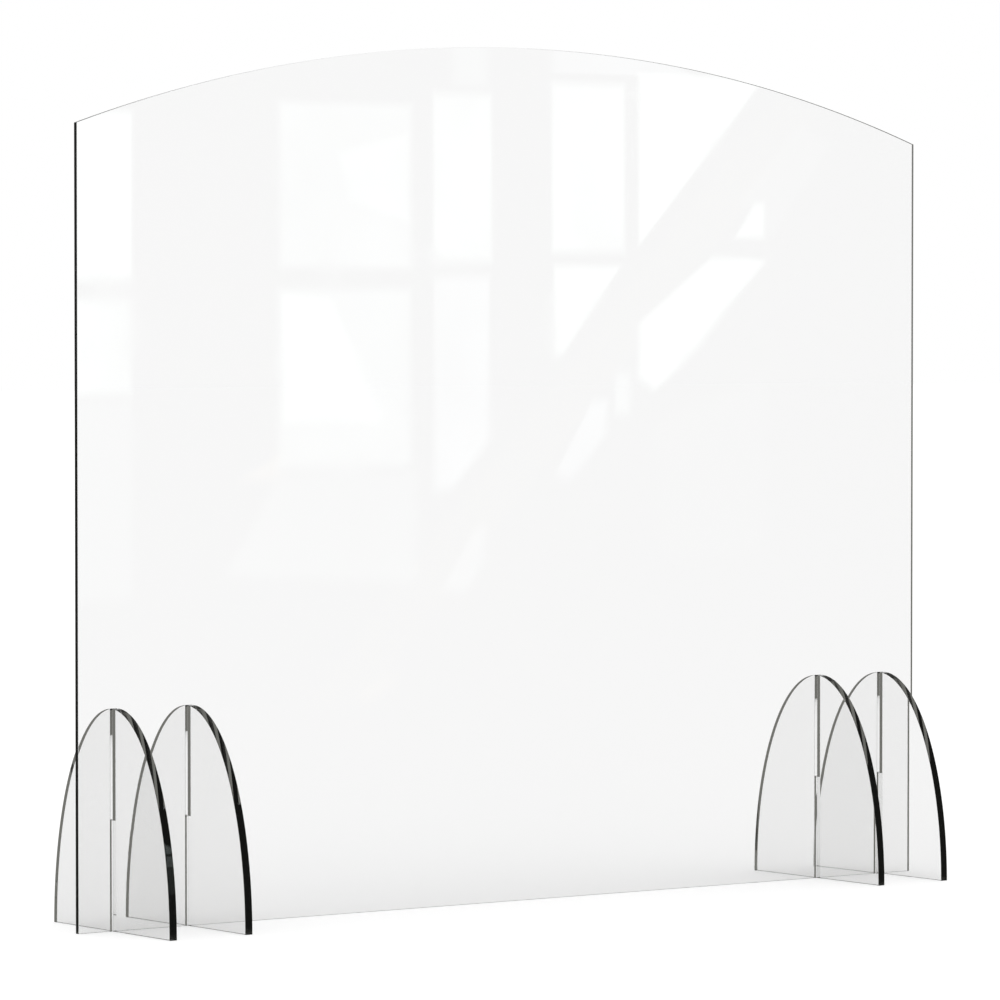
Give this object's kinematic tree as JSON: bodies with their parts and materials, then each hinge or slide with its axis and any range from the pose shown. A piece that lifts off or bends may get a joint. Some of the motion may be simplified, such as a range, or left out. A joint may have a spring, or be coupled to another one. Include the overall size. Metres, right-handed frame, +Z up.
{
  "type": "desk privacy panel",
  "caption": "Free-standing clear acrylic desk privacy panel: an arched sheet held upright by half-elliptical feet that slot into its bottom edge in pairs near each end.",
  "frame": {"origin": "on the desk, under the middle of the panel, at the centre of the footprint", "axes": "+X along the panel, +Y through its thickness, +Z up"},
  "size_m": [1.016, 0.201, 0.836],
  "materials": {
    "panel_acrylic": "clear cast acrylic sheet, glossy faces, polished edges",
    "foot_acrylic": "clear cast acrylic sheet, glossy faces, polished edges"
  },
  "bodies": {
    "panel": {"arched_panel": "panel_acrylic"},
    "foot_left_outer": {"foot_left_outer": "foot_acrylic"},
    "foot_left_inner": {"foot_left_inner": "foot_acrylic"},
    "foot_right_inner": {"foot_right_inner": "foot_acrylic"},
    "foot_right_outer": {"foot_right_outer": "foot_acrylic"}
  },
  "joints": [
    {"name": "panel_lift", "type": "slide", "parent": "foot_left_outer", "child": "panel", "axis": [0, 0, 1], "range_m": [0, 0.104]},
    {"name": "foot_left_inner_slide", "type": "slide", "parent": "panel", "child": "foot_left_inner", "axis": [0, 0, -1], "range_m": [0, 0.104]},
    {"name": "foot_right_inner_slide", "type": "slide", "parent": "panel", "child": "foot_right_inner", "axis": [0, 0, -1], "range_m": [0, 0.104]},
    {"name": "foot_right_outer_slide", "type": "slide", "parent": "panel", "child": "foot_right_outer", "axis": [0, 0, -1], "range_m": [0, 0.104]}
  ],
  "couplings": [
    {"joint": "foot_left_inner_slide", "follows": "panel_lift", "ratio": 1},
    {"joint": "foot_right_inner_slide", "follows": "panel_lift", "ratio": 1},
    {"joint": "foot_right_outer_slide", "follows": "panel_lift", "ratio": 1}
  ]
}
